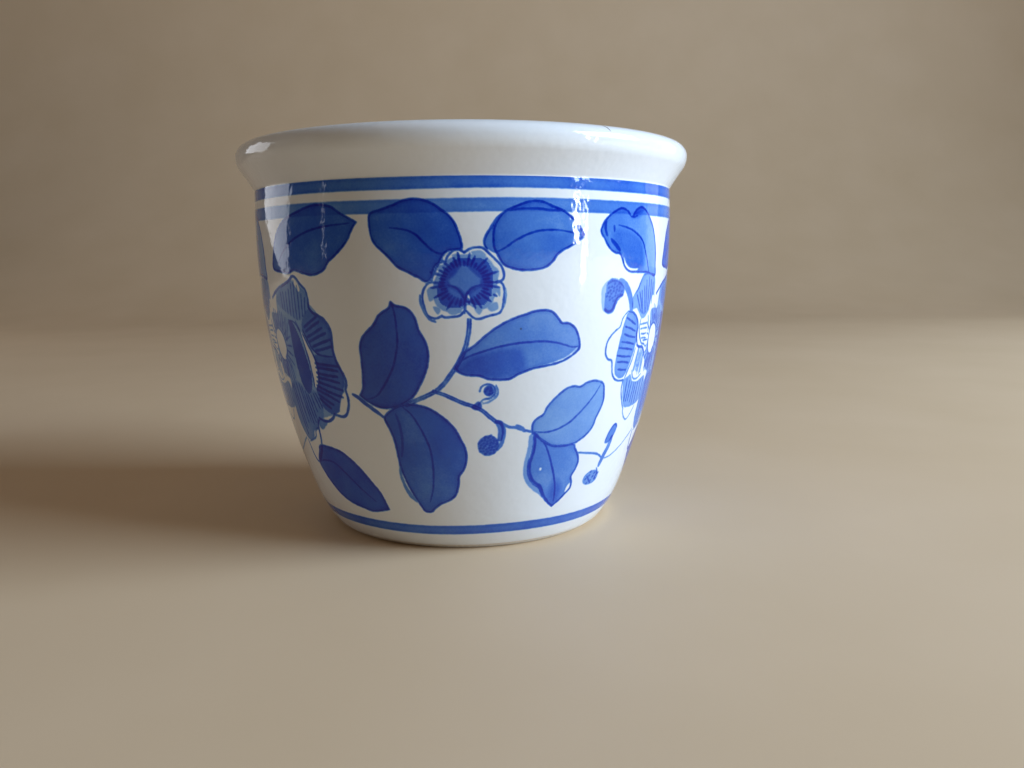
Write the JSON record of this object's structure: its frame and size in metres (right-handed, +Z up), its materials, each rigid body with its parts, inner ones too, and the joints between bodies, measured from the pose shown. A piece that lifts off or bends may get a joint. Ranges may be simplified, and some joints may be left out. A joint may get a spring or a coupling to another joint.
{
  "type": "teacup",
  "caption": "Handle-less porcelain teacup with a flared lip, deep rounded wall, turned foot ring and blue painted lines.",
  "frame": {"origin": "centre of the circle that the foot ring stands on", "axes": "+Z up along the cup's axis of turning, from the foot to the lip; +X and +Y are level"},
  "size_m": [0.09, 0.09, 0.075],
  "materials": {
    "porcelain": "bare fired clay, fine and matte",
    "white_glaze": "clear gloss glaze over white clay",
    "cobalt": "cobalt blue brushwork under clear gloss glaze"
  },
  "bodies": {
    "root": {"porcelain_body": "porcelain", "foot_ring": "porcelain", "outer_glaze": "white_glaze", "inner_glaze": "white_glaze", "base_glaze": "white_glaze", "cobalt_upper_line": "cobalt", "cobalt_lower_line": "cobalt", "cobalt_foot_line": "cobalt"}
  },
  "joints": []
}
